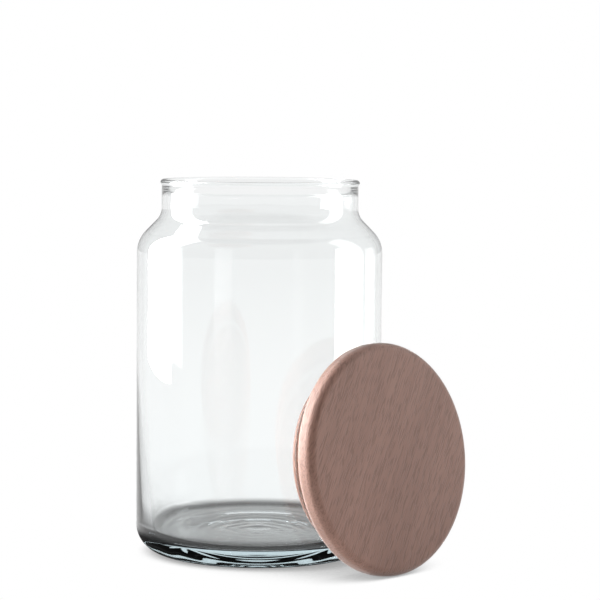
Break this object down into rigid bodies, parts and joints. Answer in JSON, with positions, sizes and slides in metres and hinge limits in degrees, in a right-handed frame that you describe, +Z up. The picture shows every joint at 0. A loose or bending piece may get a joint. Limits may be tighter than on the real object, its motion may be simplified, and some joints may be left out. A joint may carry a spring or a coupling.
{
  "type": "sourdough starter jar",
  "caption": "Clear glass storage jar with a thick base, rounded shoulder and beaded rim, and a beech plug lid with a silicone seal that is off and leans against it.",
  "frame": {"origin": "middle of the jar's base, on the plane that the jar and the leaning lid stand on", "axes": "+Z up along the jar's axis and out of its mouth; -Y towards the picture's camera; +X to the picture's right, so the lid stands towards +X and -Y"},
  "size_m": [0.1603, 0.1595, 0.1828],
  "materials": {
    "clear_glass": "clear and polished, faintly grey-green where it is thick",
    "beech": "steamed beech, fine-sanded, with a thin matt oil",
    "silicone": "translucent white food silicone, satin"
  },
  "bodies": {
    "jar": {"glass_jar": "clear_glass"},
    "lid": {"lid_disc": "beech", "lid_plug": "beech", "lid_seal": "silicone"}
  },
  "joints": [
    {"name": "lid_lift", "type": "slide", "parent": "jar", "child": "lid", "axis": [0, 0, 1], "range_m": [0, 0.2]}
  ]
}
